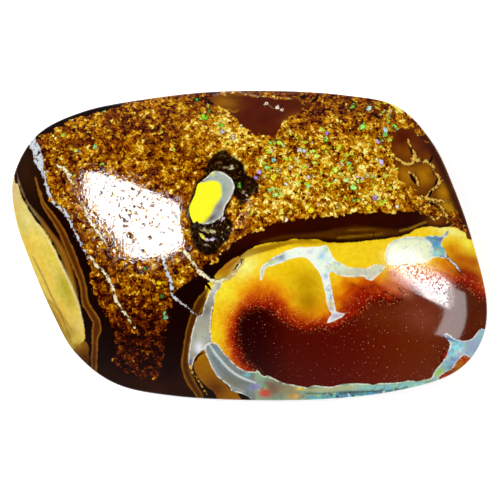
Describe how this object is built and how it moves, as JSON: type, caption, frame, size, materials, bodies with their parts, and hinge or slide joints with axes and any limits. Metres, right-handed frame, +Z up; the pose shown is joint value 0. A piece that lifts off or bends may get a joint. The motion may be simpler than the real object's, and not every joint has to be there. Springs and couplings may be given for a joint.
{
  "type": "polished boulder opal stone",
  "caption": "Low freeform dome of brown ironstone with seams and veins of opal, polished all over and ground flat underneath so that it lies still.",
  "frame": {"origin": "middle of the bounding box of the stone, on the plane of its flat base", "axes": "+X along the long way of the stone, +Z up out of the dome"},
  "size_m": [0.04, 0.026, 0.0094],
  "materials": {
    "opal_in_ironstone": "polished stone, brown ironstone with yellow, white and blue-green opal"
  },
  "bodies": {
    "root": {"boulder_opal": "opal_in_ironstone"}
  },
  "joints": []
}
